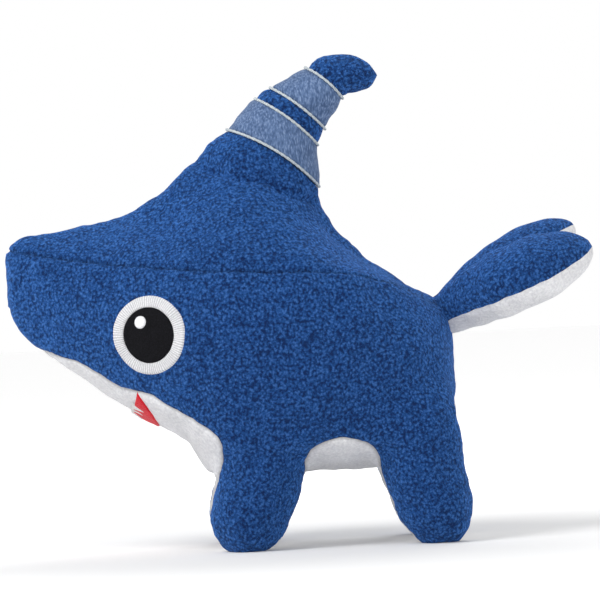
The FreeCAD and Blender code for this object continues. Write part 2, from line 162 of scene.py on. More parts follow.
def smooth_curve(points):
    """A function through (position, value, ...) rows that doesn't overshoot between them."""
    rows = np.array(points, float)
    xs, ys = rows[:, 0], rows[:, 1:]
    gaps = np.diff(xs)[:, None]
    slopes = even_slopes(ys, gaps)

    def value(x):
        x = np.asarray(x, float)
        inside = np.clip(x, xs[0], xs[-1])
        i = np.clip(np.searchsorted(xs, inside) - 1, 0, len(xs) - 2)
        t = ((inside - xs[i]) / gaps[i][..., 0])[..., None]
        result = hermite(t, gaps[i], ys[i], ys[i + 1], slopes[i], slopes[i + 1])
        beyond = (x - inside)[..., None]
        result = result + beyond * np.where(beyond < 0, slopes[0], slopes[-1])
        return result[..., 0] if ys.shape[1] == 1 else result
    return value


def smooth_least(a, b, softness):
    """The smaller of two distances, rounded where they cross."""
    mix = np.clip(0.5 + 0.5 * (b - a) / softness, 0, 1)
    return b + (a - b) * mix - softness * mix * (1 - mix)


ridge_at = smooth_curve(RIDGE)
keel_at = smooth_curve(KEEL)
upper_seam_at = smooth_curve(UPPER_SEAM)
lower_seam_at = smooth_curve(LOWER_SEAM)
widest_z_at = smooth_curve(WIDEST_Z)
ridge_width_at = smooth_curve([(y, x * x) for y, x in RIDGE_WIDTH])
seam_width_at = smooth_curve([(y, x * x) for y, x in SEAM_WIDTH])
widest_at = smooth_curve([(y, x * x) for y, x in WIDEST])
lower_width_at = smooth_curve([(y, x * x) for y, x in LOWER_WIDTH])
horn_at = smooth_curve([(i,) + row for i, row in enumerate(HORN)])
leg_at = smooth_curve(LEG)


def hermite_column(levels, values, z):
    """Values between levels that fall from top to bottom, joined smoothly, for many columns at once."""
    gaps = np.diff(levels, axis=0)
    slopes = even_slopes(values, gaps)
    result = values[0] + (z - levels[0]) * slopes[0]
    for i in range(len(gaps)):
        t = np.clip((z - levels[i]) / gaps[i], 0, 1)
        span = hermite(t, gaps[i], values[i], values[i + 1], slopes[i], slopes[i + 1])
        result = np.where(z <= levels[i], span, result)
    return np.where(z < levels[-1], values[-1] + (z - levels[-1]) * slopes[-1], result)


# ---- the body shape

TENT_SHARE = 0.32  # how far below the ridge the back starts to slope evenly
BELLY_SHARE = 0.25  # how far above the keel the belly reaches its own width
BELLY_FULLNESS = 0.36  # square of that width against the lower seam's
END_FALL = 40.0  # how fast the width falls past the snout and the rump
GRID = 1.0  # spacing of the width table
OUTSIDE = -400.0  # square of the half width where there is no horn
HORN_FLOOR = 141.0  # the horn's own sections count above this height
HORN_BLEND = 90.0  # softness between the horn and the back, in square mm
LEG_ROOT = 66.0  # a leg reaches up to here inside the torso
GRID_Y = np.arange(NOSE_Y - 12, RUMP_Y + 12, GRID)
GRID_Z = np.arange(20, 200, GRID)


def torso_width(outer_y, z):
    """Square of the torso's half width over the side view, negative outside it."""
    y = np.clip(outer_y, NOSE_Y, RUMP_Y)
    ridge, keel = ridge_at(y), keel_at(y)
    upper, lower, middle = upper_seam_at(y), lower_seam_at(y), widest_z_at(y)
    upper = np.minimum(upper, ridge - 3)
    middle = np.minimum(middle, upper - 1)
    lower = np.clip(lower, keel + 2, middle - 1)
    tent = ridge - TENT_SHARE * (ridge - upper)
    belly = keel + BELLY_SHARE * (lower - keel)
    zero = np.zeros_like(y)
    levels = np.stack([ridge, tent, upper, middle, lower, belly, keel])
    squares = np.stack([zero, ridge_width_at(y), seam_width_at(y), widest_at(y), lower_width_at(y),
                        BELLY_FULLNESS * lower_width_at(y), zero])
    return hermite_column(levels, squares, z) - END_FALL * np.abs(outer_y - y)


def horn_width(y, z):
    """Square of the horn's half width over the side view, from tilted elliptical sections."""
    best = np.full(y.shape, 1e9)
    result = np.full(y.shape, OUTSIDE)
    for place in np.linspace(0, 3, 73):
        cy, cz, slope, half_long, half_thick = horn_at(place)
        turn = math.radians(slope)
        along = (y - cy) * math.cos(turn) + (z - cz) * math.sin(turn)
        off = np.abs((z - cz) * math.cos(turn) - (y - cy) * math.sin(turn))
        square = half_thick ** 2 * (1 - (along / half_long) ** 2)
        nearer = off < best
        result = np.where(nearer, square, result)
        best = np.where(nearer, off, best)
    return np.where(z > HORN_FLOOR, result, OUTSIDE)


def width_table():
    """The torso and horn together on an even grid."""
    y, z = np.meshgrid(GRID_Y, GRID_Z, indexing="ij")
    torso = torso_width(y.ravel(), z.ravel()).reshape(y.shape)
    horn = horn_width(y, z)
    return -smooth_least(-torso, -horn, HORN_BLEND)


WIDTH = width_table()


def sample_width(y, z):
    """Reads the grid between its nodes."""
    u = np.clip((y - GRID_Y[0]) / GRID, 0, len(GRID_Y) - 1.001)
    v = np.clip((z - GRID_Z[0]) / GRID, 0, len(GRID_Z) - 1.001)
    i, j = u.astype(int), v.astype(int)
    s, t = u - i, v - j
    return ((WIDTH[i, j] * (1 - s) + WIDTH[i + 1, j] * s) * (1 - t)
            + (WIDTH[i, j + 1] * (1 - s) + WIDTH[i + 1, j + 1] * s) * t)


def torso_field(p):
    """About the signed distance to the torso and horn foot, negative inside."""
    x, y, z = p[:, 0], p[:, 1], p[:, 2]
    square = sample_width(y, z)
    dy = (sample_width(y + GRID, z) - sample_width(y - GRID, z)) / (2 * GRID)
    dz = (sample_width(y, z + GRID) - sample_width(y, z - GRID)) / (2 * GRID)
    steepness = np.sqrt(4 * x * x + dy * dy + dz * dz) + 1.5
    return (x * x - square) / steepness


def leg_shape(z, name):
    """Half length, half width and lean of a leg at a height."""
    column = leg_at(z)
    front = name.startswith("front")
    half_long = np.maximum(column[:, 0] * (1.0 if front else HIND_SHARE), 1.0)
    return half_long, np.maximum(column[:, 1], 1.0), column[:, 2] if front else column[:, 3]


def leg_field(p, name):
    """About the signed distance to one leg, negative inside."""
    hip = HIP[name]
    half_long, half_wide, lean = leg_shape(p[:, 2], name)
    u = (p[:, 0] - hip[0]) / half_wide
    v = (p[:, 1] - hip[1] - lean) / half_long
    around = np.sqrt(u * u + v * v)
    side = (around - 1) * np.minimum(half_long, half_wide)
    return np.maximum(side, np.maximum(-p[:, 2], p[:, 2] - LEG_ROOT))


def body_field(p):
    """The whole fleece body: torso, horn foot and four legs, softly joined."""
    distance = torso_field(p)
    for name in HIP:
        distance = smooth_least(distance, leg_field(p, name), FILLET)
    return distance


# ---- growing a skin mesh

def surface_net(field, low, high, step):
    """Points and quads of the surface where the field is zero."""
    axes = [np.arange(low[i], high[i] + step, step) for i in range(3)]
    shape = [len(a) for a in axes]
    nodes = np.stack(np.meshgrid(*axes, indexing="ij"), -1)
    value = field(nodes.reshape(-1, 3)).reshape(shape)
    total = np.zeros([n - 1 for n in shape] + [3])
    count = np.zeros([n - 1 for n in shape])
    crossings = []
    for axis in range(3):
        first = [slice(None)] * 3
        second = [slice(None)] * 3
        first[axis], second[axis] = slice(None, -1), slice(1, None)
        a, b = value[tuple(first)], value[tuple(second)]
        cross = (a < 0) != (b < 0)
        share = np.where(cross, a / np.where(cross, a - b, 1.0), 0.0)
        place = nodes[tuple(first)].copy()
        place[..., axis] += share * step
        others = [k for k in range(3) if k != axis]
        for da in (0, 1):
            for db in (0, 1):
                here = [slice(None)] * 3
                for other, shift in zip(others, (da, db)):
                    here[other] = slice(shift, shape[other] - 1 + shift)
                total += np.where(cross[tuple(here)][..., None], place[tuple(here)], 0.0)
                count += cross[tuple(here)]
        crossings.append((axis, cross, a < 0))
    active = count > 0
    index = np.full(count.shape, -1)
    index[active] = np.arange(active.sum())
    points = total[active] / count[active][:, None]
    quads = []
    for axis, cross, inside in crossings:
        b, c = [(axis + 1) % 3, (axis + 2) % 3]
        at = np.argwhere(cross)
        keep = np.all([(at[:, k] > 0) & (at[:, k] < index.shape[k]) for k in (b, c)], axis=0)
        at = at[keep]
        corners = []
        for shift_b, shift_c in ((0, 0), (1, 0), (1, 1), (0, 1)):
            cell = at.copy()
            cell[:, b] -= shift_b
            cell[:, c] -= shift_c
            corners.append(index[cell[:, 0], cell[:, 1], cell[:, 2]])
        quad = np.stack(corners, 1)
        flip = ~inside[at[:, 0], at[:, 1], at[:, 2]]
        quad[flip] = quad[flip][:, ::-1]
        quads.append(quad)
    return points, np.concatenate(quads)


def split_quads(points, quads):
    """Cuts each quad along its shorter diagonal."""
    first = np.linalg.norm(points[quads[:, 0]] - points[quads[:, 2]], axis=1)
    second = np.linalg.norm(points[quads[:, 1]] - points[quads[:, 3]], axis=1)
    short = first <= second
    a = quads[short]
    b = quads[~short]
    return np.concatenate([a[:, [0, 1, 2]], a[:, [0, 2, 3]], b[:, [0, 1, 3]], b[:, [1, 2, 3]]])


def gradient(field, p, reach=0.4):
    """Slope of a field at each point."""
    columns = []
    for axis in range(3):
        shift = np.zeros(3)
        shift[axis] = reach
        columns.append((field(p + shift) - field(p - shift)) / (2 * reach))
    return np.stack(columns, 1)


def limited(move, longest):
    """The same moves, none of them longer than that."""
    length = np.linalg.norm(move, axis=1, keepdims=True)
    return move * np.minimum(1, longest / np.maximum(length, 1e-9))


def settle(field, p, rounds=3):
    """Moves points onto the surface where the field is zero."""
    p = p.copy()
    for _ in range(rounds):
        slope = gradient(field, p)
        size = np.maximum((slope ** 2).sum(1), 0.05)
        p += limited(-(field(p) / size)[:, None] * slope, 2.0)
    return p


def settle_on_line(field, line, p, rounds=4):
    """Moves points onto the surface and onto a seam line across it."""
    p = p.copy()
    for _ in range(rounds):
        p = settle(field, p, 1)
        normal = gradient(field, p)
        normal /= np.linalg.norm(normal, axis=1, keepdims=True) + 1e-9
        slope = gradient(line, p)
        slope -= (slope * normal).sum(1, keepdims=True) * normal
        size = np.maximum((slope ** 2).sum(1), 0.02)
        p += limited(-(line(p) / size)[:, None] * slope, 1.5)
    return p


def edges_of(triangles):
    """Each edge once, as sorted point pairs."""
    pairs = np.concatenate([triangles[:, [0, 1]], triangles[:, [1, 2]], triangles[:, [2, 0]]])
    return np.unique(np.sort(pairs, axis=1), axis=0)


def snap_to_line(field, line, points, triangles, taken):
    """Pulls the nearest points onto a seam, so that no triangle straddles it."""
    value = line(points)
    value[np.abs(value) < 1e-6] = 0
    edges = edges_of(triangles)
    a, b = edges[:, 0], edges[:, 1]
    cross = value[a] * value[b] < 0
    a, b = a[cross], b[cross]
    share = np.abs(value[a]) / (np.abs(value[a]) + np.abs(value[b]))
    near = np.where(share <= 0.5, a, b)
    other = np.where(share <= 0.5, b, a)
    near = np.where(taken[near] & ~taken[other], other, near)
    free = ~taken[near]
    a, b, share, near = a[free], b[free], share[free], near[free]
    place = points[a] * (1 - share)[:, None] + points[b] * share[:, None]
    total = np.zeros_like(points)
    count = np.zeros(len(points))
    np.add.at(total, near, place)
    np.add.at(count, near, 1)
    chosen = count > 0
    points = points.copy()
    points[chosen] = total[chosen] / count[chosen][:, None]
    points[chosen] = settle_on_line(field, line, points[chosen])
    return points, taken | chosen


def neighbour_average(triangles, size):
    """A function that gives the average place of each point's neighbours."""
    edges = edges_of(triangles)
    both = np.concatenate([edges, edges[:, ::-1]])
    count = np.maximum(np.bincount(both[:, 0], minlength=size)[:, None], 1)

    def average(points):
        total = np.zeros_like(points)
        np.add.at(total, both[:, 0], points[both[:, 1]])
        return total / count
    return average


def relax(field, points, triangles, fixed, rounds=4):
    """Evens out the mesh without leaving the surface or moving the seams."""
    average = neighbour_average(triangles, len(points))
    for _ in range(rounds):
        moved = points + 0.5 * (average(points) - points)
        moved[fixed] = points[fixed]
        points = settle(field, moved, 1)
        points[fixed] = moved[fixed]
    return points


def soften(points, triangles, centre, reach, rounds=14):
    """Smooths the skin within reach of a spot where three curved panels meet."""
    average = neighbour_average(triangles, len(points))
    share = np.clip(1.4 * (1 - np.linalg.norm(points - centre, axis=1) / reach), 0, 1)[:, None]
    for _ in range(rounds):
        points = points + 0.6 * share * (average(points) - points)
    return points


def halve_edges(points, triangles, marks):
    """Splits every triangle in four. A new point keeps the marks that both its ends share."""
    edges = edges_of(triangles)
    size = len(points)
    keys = edges[:, 0] * size + edges[:, 1]

    def middle(a, b):
        low, high = np.minimum(a, b), np.maximum(a, b)
        return size + np.searchsorted(keys, low * size + high)
    a, b, c = triangles.T
    ab, bc, ca = middle(a, b), middle(b, c), middle(c, a)
    finer = np.concatenate([np.stack(t, 1) for t in ((a, ab, ca), (ab, b, bc), (ca, bc, c), (ab, bc, ca))])
    fresh = 0.5 * (points[edges[:, 0]] + points[edges[:, 1]])
    shared = marks[edges[:, 0]] & marks[edges[:, 1]]
    return np.concatenate([points, fresh]), finer, np.concatenate([marks, shared]), edges


# ---- where the panels meet

LEG_SEAM_X = HIP["front_left"][0] - 1.5  # a leg's seam runs down its front and back here
LEG_TOP = 38.0  # a leg's own skin pieces lie below this height
FOLD_DEPTH = 14.0  # the fin's foot piece reaches this depth under its fold
ARCH_FOOT = 36.0  # above here the seam spreads from a leg into the arch
CHIN_FOOT = 24.0  # above here the white chin shows in front of the leg
SEAM_ROUNDING = 6.0  # corner between a leg's seam and the torso's
CREASE_DROP = 5.0  # the soft crease lies this far under the fin's fold
CREASE_DEPTH = 2.2
TRIM_BULGE = 3.0  # how far a trim arches up on the fin's sides


def leg_distance(p):
    """Distance to the nearest leg, negative inside."""
    return np.min([leg_field(p, name) for name in HIP], axis=0)


def above_upper_seam(p):
    """Positive on the back panels."""
    return p[:, 2] - upper_seam_at(p[:, 1])


def blue_side(p):
    """Positive where the skin is blue: above the lower seam and on the outer half of each leg."""
    body = p[:, 2] - lower_seam_at(p[:, 1])
    flare = np.maximum(p[:, 2] - ARCH_FOOT, 0) ** 2
    bands = []
    chin_gap = 1.5 - 4.5 * np.clip((p[:, 2] - CHIN_FOOT) / (LEG_TOP - CHIN_FOOT), 0, 1)
    for name, front_reach, back_reach in (("front_left", chin_gap, 1.0 + 0.1 * flare),
                                          ("hind_left", 0.5 + 0.1 * flare, 1.0 + 0.05 * flare)):
        half_long, _, lean = leg_shape(p[:, 2], name)
        along = p[:, 1] - HIP[name][1] - lean
        bands.append(half_long + np.minimum(front_reach + along, back_reach - along))
    leg = np.minimum(0.8 * (np.abs(p[:, 0]) - LEG_SEAM_X), np.maximum(bands[0], bands[1]))
    return -smooth_least(-body, -leg, SEAM_ROUNDING)


def left_side(p):
    """Positive on the shark's left."""
    return p[:, 0]


def horn_frame(place):
    """Centre, lengthwise direction and upward direction of a horn section."""
    cy, cz, slope, half_long, half_thick = horn_at(place)
    turn = math.radians(slope)
    along = np.array([0.0, math.cos(turn), math.sin(turn)])
    up = np.array([0.0, -math.sin(turn), math.cos(turn)])
    return np.array([0.0, cy, cz]), along, up, half_long, half_thick


def below_trim(p):
    """Positive on the fleece under the fin's lowest trim."""
    centre, _, up, _, half_thick = horn_frame(float(TRIM_ROWS[0]))
    side = np.minimum((p[:, 0] / half_thick) ** 2, 1.0)
    return TRIM_BULGE * side - (p - centre) @ up


def in_front_of_legs(p):
    """Positive on the chin, negative on the belly."""
    return HIP["front_left"][1] - 16.0 - p[:, 1]


# ---- fabric detail

def waves(p, length, seed, count=14):
    """Gentle irregular noise from -1 to 1 with bumps of about that length."""
    rng = np.random.default_rng(seed)
    total = np.zeros(len(p))
    for _ in range(count):
        direction = rng.normal(size=3)
        direction /= np.linalg.norm(direction)
        pitch = length * rng.uniform(0.7, 1.6)
        total += np.sin(p @ direction * (2 * math.pi / pitch) + rng.uniform(0, 2 * math.pi))
    return total / math.sqrt(count / 2) / 1.6


def line_distance(line, p):
    """Distance along the surface to where a line function is zero."""
    value = line(p)
    slope = np.linalg.norm(gradient(line, p), axis=1)
    return np.abs(value) / np.maximum(slope, 0.2)


def seam_valley(distance, p, depth=SEAM_DEPTH, half=SEAM_HALF):
    """How far the fabric is pulled in beside a seam, with small puckers along it."""
    near = np.clip(1 - distance / half, 0, 1)
    wide = np.clip(1 - distance / (4.5 * half), 0, 1)
    pucker = 0.5 + 0.5 * waves(p, 4.5, 7)
    return depth * (near ** 2 * 0.75 + wide ** 2 * (0.35 + 0.45 * pucker))


# ---- pieces

def new_mesh(name, points, faces, normals=None):
    """A smooth mesh object from points in millimetres."""
    mesh = bpy.data.meshes.new(name)
    mesh.from_pydata((np.asarray(points) * MM).tolist(), [], [list(map(int, f)) for f in faces])
    mesh.polygons.foreach_set("use_smooth", np.ones(len(mesh.polygons), bool))
    if normals is not None:
        mesh.normals_split_custom_set_from_vertices(np.asarray(normals).tolist())
    mesh.update()
    piece = bpy.data.objects.new(name, mesh)
    bpy.context.collection.objects.link(piece)
    return piece


def vertex_normals(points, triangles):
    """Area-weighted normals."""
    a, b, c = (points[triangles[:, i]] for i in range(3))
    face = np.cross(b - a, c - a)
    total = np.zeros_like(points)
    for i in range(3):
        np.add.at(total, triangles[:, i], face)
    return total / (np.linalg.norm(total, axis=1, keepdims=True) + 1e-12)


def part_of(name, points, triangles, normals, chosen):
    """One piece of a larger mesh, which keeps the whole mesh's shading."""
    faces = triangles[chosen]
    used = np.unique(faces)
    index = np.full(len(points), -1)
    index[used] = np.arange(len(used))
    piece = new_mesh(name, points[used], index[faces], normals[used])
    mark_seams(piece, seam_shade_line[used])
    return piece


def mark_seams(piece, nearness):
    """Stores how close each point is to a seam, for the shadow in its valley."""
    attribute = piece.data.attributes.new("seam", "FLOAT", "POINT")
    attribute.data.foreach_set("value", np.asarray(nearness, np.float32))


def dress(piece, material, nodes):
    """Gives a piece its material and hides the plain solids it stands for."""
    piece.data.materials.append(material)
    if nodes:
        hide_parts(*nodes)
    return piece


# ---- materials

def add_node(tree, kind, **values):
    """A new shader node with the given input values."""
    node = tree.nodes.new("ShaderNode" + kind)
    for label, value in values.items():
        node.inputs[label.replace("_", " ")].default_value = value
    return node


def join_terms(tree, kind, operation, *terms):
    """A math node on its terms: sockets are linked and plain values are set. Returns its output."""
    node = tree.nodes.new("ShaderNode" + kind)
    node.operation = operation
    for socket, term in zip(node.inputs, terms):
        if isinstance(term, bpy.types.NodeSocket):
            tree.links.new(term, socket)
        else:
            socket.default_value = term
    return node.outputs[0]


def nap_height(tree, place, nap):
    """Height of the nap: round tufts, drawn out of line by noise, with fibres on them. It sets the bump
    and also the colour, so that the hollows get painted shade and the tufts a painted highlight.
    """
    warp = add_node(tree, "TexNoise", Scale=0.8 / nap, Detail=2.0)
    tree.links.new(place, warp.inputs["Vector"])
    drift = join_terms(tree, "VectorMath", "MULTIPLY_ADD", warp.outputs["Color"], (nap,) * 3, place)
    tufts = tree.nodes.new("ShaderNodeTexVoronoi")
    tufts.feature = "SMOOTH_F1"
    tufts.inputs["Scale"].default_value = 1 / nap
    tufts.inputs["Smoothness"].default_value = 0.5
    tree.links.new(drift, tufts.inputs["Vector"])
    fibres = add_node(tree, "TexNoise", Scale=1.15 / nap, Detail=4.0, Roughness=0.65)
    tree.links.new(place, fibres.inputs["Vector"])
    lifted = join_terms(tree, "Math", "MULTIPLY_ADD", fibres.outputs["Fac"], 1.5, 0.0)
    return join_terms(tree, "Math", "MULTIPLY_ADD", tufts.outputs["Distance"], -0.6, lifted)


def shading(tree, place, painted_rim_sheen):
    """How light the fabric is: soft blotches of its own tone, a painted sheen that lightens the colour
    towards the silhouette, and painted shade in the seam valleys.
    """
    blotch = add_node(tree, "TexNoise", Scale=1 / BLOTCH, Detail=2.0)
    tree.links.new(place, blotch.inputs["Vector"])
    level = add_node(tree, "MapRange", To_Min=0.90, To_Max=1.10)
    tree.links.new(blotch.outputs["Fac"], level.inputs["Value"])
    # Painted sheen: the base colour is made lighter where the surface turns away from the view, towards
    # the silhouette.
    grazing = add_node(tree, "LayerWeight", Blend=0.4)
    painted_sheen_level = add_node(tree, "MapRange", To_Min=0.95, To_Max=0.95 + painted_rim_sheen)
    tree.links.new(grazing.outputs["Facing"], painted_sheen_level.inputs["Value"])
    # Painted shade: the colour darkens in seam valleys and between satin stitches.
    seam = tree.nodes.new("ShaderNodeAttribute")
    seam.attribute_name = "seam"
    valley = join_terms(tree, "Math", "MULTIPLY_ADD", seam.outputs["Fac"], -SEAM_SHADE, 1.0)
    lit = join_terms(tree, "Math", "MULTIPLY", painted_sheen_level.outputs["Result"], level.outputs["Result"])
    return join_terms(tree, "Math", "MULTIPLY", valley, lit)


BLOTCH = 9 * MM  # size of the soft blotches
SEAM_SHADE = 0.42  # how much painted shade darkens a seam's valley


def fabric(name, colours, nap, bump, sheen, stretch=(1, 1, 1), rough=0.9, tint=(1, 1, 1, 1), painted_rim_sheen=0.0):
    """A fabric material, from dark, middle and light colours of its nap, spread by the nap's height:
    partly the fabric's own mottled tone, partly painted shade in the hollows and a painted highlight on
    the tufts. Nap and bump are in mm.
    """
    material = bpy.data.materials.new(name)
    material.use_nodes = True
    tree = material.node_tree
    shader = tree.nodes["Principled BSDF"]
    where = tree.nodes.new("ShaderNodeTexCoord")
    scale = add_node(tree, "Mapping", Scale=stretch)
    tree.links.new(where.outputs["Object"], scale.inputs["Vector"])
    height = nap_height(tree, scale.outputs["Vector"], nap * MM)
    # The nap's height picks the colour: dark in the hollows as painted shade, light on the tufts as
    # painted highlight.
    ramp = tree.nodes.new("ShaderNodeValToRGB")
    stops = ramp.color_ramp.elements
    stops.new(0.5)
    for stop, position, colour in zip(stops, (0.25, 0.5, 0.8), colours):
        stop.position = position
        stop.color = colour + (1,)
    tree.links.new(height, ramp.inputs["Fac"])
    shade = tree.nodes.new("ShaderNodeVectorMath")
    shade.operation = "SCALE"
    tree.links.new(ramp.outputs["Color"], shade.inputs[0])
    tree.links.new(shading(tree, where.outputs["Object"], painted_rim_sheen), shade.inputs["Scale"])
    tree.links.new(shade.outputs["Vector"], shader.inputs["Base Color"])
    relief = add_node(tree, "Bump", Strength=1.0, Distance=bump * MM)
    tree.links.new(height, relief.inputs["Height"])
    tree.links.new(relief.outputs["Normal"], shader.inputs["Normal"])
    for label, value in (("Roughness", rough), ("Specular IOR Level", 0.15), ("Sheen Weight", sheen),
                         ("Sheen Roughness", 0.35), ("Sheen Tint", tint)):
        shader.inputs[label].default_value = value
    return material


def thread(name, colour, dark, pitch, rough=0.55):
    """Stitched or twisted yarn: fine strands across the piece, with painted shade between the strands."""
    return fabric(name, (dark, colour, colour), pitch, 0.15, 0.2, (1, 1, 1), rough)


# The blue fleece's base colour is lightened towards the silhouette, a painted sheen.
BLUE = fabric("blue_fleece_look", ((0.0032, 0.022, 0.104), (0.012, 0.071, 0.265), (0.048, 0.163, 0.49)),
              1.3, 1.4, 0.22, tint=(0.2, 0.5, 1.0, 1), painted_rim_sheen=0.9)
BAND = fabric("light_blue_plush_look", ((0.060, 0.105, 0.215), (0.105, 0.170, 0.315), (0.21, 0.29, 0.47)),
              0.7, 0.3, 0.25, (1, 0.8, 0.3), tint=(0.7, 0.8, 1.0, 1))
WHITE = fabric("white_fleece_look", ((0.69, 0.69, 0.72), (0.77, 0.77, 0.79), (0.84, 0.84, 0.86)),
               1.3, 0.5, 0.25)
SATIN = thread("white_satin_look", (0.88, 0.88, 0.90), (0.72, 0.72, 0.76), 0.5)
FELT_BLACK = fabric("black_felt_look",
                    ((0.002, 0.002, 0.003), (0.004, 0.004, 0.006), (0.010, 0.010, 0.013)), 0.5, 0.2, 0.0)
FELT_RED = fabric("red_felt_look", ((0.55, 0.008, 0.02), (0.70, 0.014, 0.03), (0.80, 0.03, 0.045)),
                  0.5, 0.2, 0.2)
FELT_WHITE = fabric("white_felt_look", ((0.68, 0.68, 0.68), (0.78, 0.78, 0.78), (0.85, 0.85, 0.85)),
                    0.5, 0.2, 0.2)
CORD = thread("grey_cord_look", (0.56, 0.61, 0.64), (0.30, 0.35, 0.38), 0.4)
FIBRE = fabric("filling_look", ((0.6, 0.6, 0.58), (0.75, 0.75, 0.73), (0.86, 0.86, 0.84)), 0.9, 0.3, 0.2)


# ---- the fleece body

def grown_body():
    """Points, triangles and seam marks of the whole fleece skin."""
    low = (-23.5 * STEP, NOSE_Y - 2.4 * STEP, -2.3 * STEP)
    high = (23.5 * STEP, RUMP_Y + 4 * STEP, 190.0)
    points, quads = surface_net(body_field, low, high, STEP)
    triangles = split_quads(points, quads)
    points = settle(body_field, points, 3)
    fixed = np.zeros(len(points), bool)
    points = relax(body_field, points, triangles, fixed, 4)
    marks = np.zeros((len(points), len(SEAM_LINES)), bool)
    for i, line in enumerate(SEAM_LINES):
        points, fixed = snap_to_line(body_field, line, points, triangles, fixed)
        marks[:, i] = np.abs(line(points)) < 0.05
    points = relax(body_field, points, triangles, fixed, 4)
    return points, triangles, marks


SEAM_LINES = [blue_side, above_upper_seam, below_trim, left_side]
RUMP_CORNER = np.array([0.0, RUMP_Y, 50.0])  # where the side and belly panels meet
RUMP_REACH = 15.0
LEG_MARGIN = 2.5  # skin this near a leg's own surface belongs to the leg
SEAM_SHADE_HALF = 0.9  # half width of the painted shade line along a seam
SLACK_START = 1.0  # the cloth starts this far inside the final skin
PUFF_LIMIT = 1.3  # and may end this far from it


def inflate(points, triangles, held):
    """Blows the skin up from inside as cloth, held at its seams. Returns how far it puffs out."""
    outward = vertex_normals(points, triangles)
    start = points - outward * SLACK_START
    cloth = new_mesh("inflating_skin", start, triangles)
    group = cloth.vertex_groups.new(name="seams")
    group.add([int(i) for i in np.flatnonzero(held)], 1.0, "REPLACE")
    modifier = cloth.modifiers.new("cloth", "CLOTH")
    modifier.settings.quality = 5
    modifier.settings.mass = 0.15
    modifier.settings.tension_stiffness = 12
    modifier.settings.compression_stiffness = 12
    modifier.settings.shear_stiffness = 5
    modifier.settings.bending_stiffness = 0.6
    modifier.settings.use_pressure = True
    modifier.settings.uniform_pressure_force = 4.0
    modifier.settings.effector_weights.gravity = 0
    modifier.settings.vertex_group_mass = "seams"
    modifier.point_cache.frame_start = 1
    modifier.point_cache.frame_end = 20
    for frame_number in range(1, 21):
        bpy.context.scene.frame_set(frame_number)
        evaluated = cloth.evaluated_get(bpy.context.evaluated_depsgraph_get())
    final = np.empty(len(points) * 3)
    evaluated.data.vertices.foreach_get("co", final)
    bpy.context.scene.frame_set(1)
    moved = final.reshape(-1, 3) / MM - start
    bpy.data.objects.remove(cloth, do_unlink=True)
    puff = (moved * outward).sum(1)
    puff -= np.median(puff[~held])
    return np.clip(puff, -PUFF_LIMIT, PUFF_LIMIT)


points, triangles, marks = grown_body()
puff = np.zeros(len(points))
puff = inflate(points, triangles, marks.any(axis=1))
points, triangles, marks, halves = halve_edges(points, triangles, marks)
puff = np.concatenate([puff, 0.5 * (puff[halves[:, 0]] + puff[halves[:, 1]])])
on_seam = marks.any(axis=1)
points[~on_seam] = settle(body_field, points[~on_seam], 2)
for i, line in enumerate(SEAM_LINES):
    points[marks[:, i]] = settle_on_line(body_field, line, points[marks[:, i]], 2)
points = soften(points, triangles, RUMP_CORNER, RUMP_REACH)


def detail_body():
    """Adds soft lumps and pulls the fabric in along its seams, and gives how much painted shade each point
    gets near a seam.
    """
    outward = vertex_normals(points, triangles)
    rise = puff + 0.40 * waves(points, 17, 3) + 0.15 * waves(points, 7, 5)
    crease = (points - FOLD) @ FOLD_UP + CREASE_DROP + 1.2 * waves(points, 15, 9)
    rise -= CREASE_DEPTH * np.exp(-(crease / 2.2) ** 2) * np.clip(np.abs(points[:, 0]) / 10, 0, 1)
    shape = points + outward * rise[:, None]
    white_edge = line_distance(blue_side, points)
    upper_edge = line_distance(above_upper_seam, points)
    back_edge = np.where(above_upper_seam(points) > 0, np.abs(points[:, 0]), 99.0)
    trim_edge = np.abs(below_trim(points))
    pull = np.zeros(len(points))
    for distance in (white_edge, upper_edge, back_edge, trim_edge):
        pull = np.maximum(pull, seam_valley(distance, points))
    pull *= np.clip(points[:, 2] / 3, 0, 1)
    shape = shape - outward * pull[:, None]
    shape[:, 2] = np.maximum(shape[:, 2], 0)
    nearest = np.min([white_edge, upper_edge, back_edge, trim_edge], axis=0)
    # The second value is the painted shade along each seam line.
    return shape, np.clip(1 - nearest / SEAM_SHADE_HALF, 0, 1)


skin, seam_shade_line = detail_body()
skin_normals = vertex_normals(skin, triangles)
middles = points[triangles].mean(axis=1)
is_fleece = below_trim(middles) > 0
is_blue = blue_side(middles) > 0
is_back = above_upper_seam(middles) > 0
is_left = middles[:, 0] > 0
in_leg = (middles[:, 2] < LEG_TOP) & (leg_distance(middles) < LEG_MARGIN)
in_foot_of_fin = is_back & ((middles - FOLD) @ FOLD_UP > -FOLD_DEPTH)
is_chin = in_front_of_legs(middles) > 0
in_torso = is_fleece & ~in_leg & ~in_foot_of_fin

TORSO_PIECES = [
    ("left_back", in_torso & is_back & is_left, BLUE, "blue_fleece", "left_back_panel"),
    ("right_back", in_torso & is_back & ~is_left, BLUE, "blue_fleece", "right_back_panel"),
    ("left_side", in_torso & ~is_back & is_blue & is_left, BLUE, "blue_fleece", "left_side_panel"),
    ("right_side", in_torso & ~is_back & is_blue & ~is_left, BLUE, "blue_fleece", "right_side_panel"),
    ("chin", in_torso & ~is_back & ~is_blue & is_chin, WHITE, "white_fleece", "chin_panel"),
    ("belly", in_torso & ~is_back & ~is_blue & ~is_chin, WHITE, "white_fleece", "belly_panel"),
]
for name, chosen, material, slot, node in TORSO_PIECES:
    piece = part_of(name + "_skin", skin, triangles, skin_normals, chosen)
    dress(piece, material, [node])
    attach(piece, "torso")


def bend_with_fin(piece):
    """Writes the piece's placement into its points."""
    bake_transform(piece)


def bend_with_leg(piece):
    """Writes the piece's placement into its points."""
    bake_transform(piece)


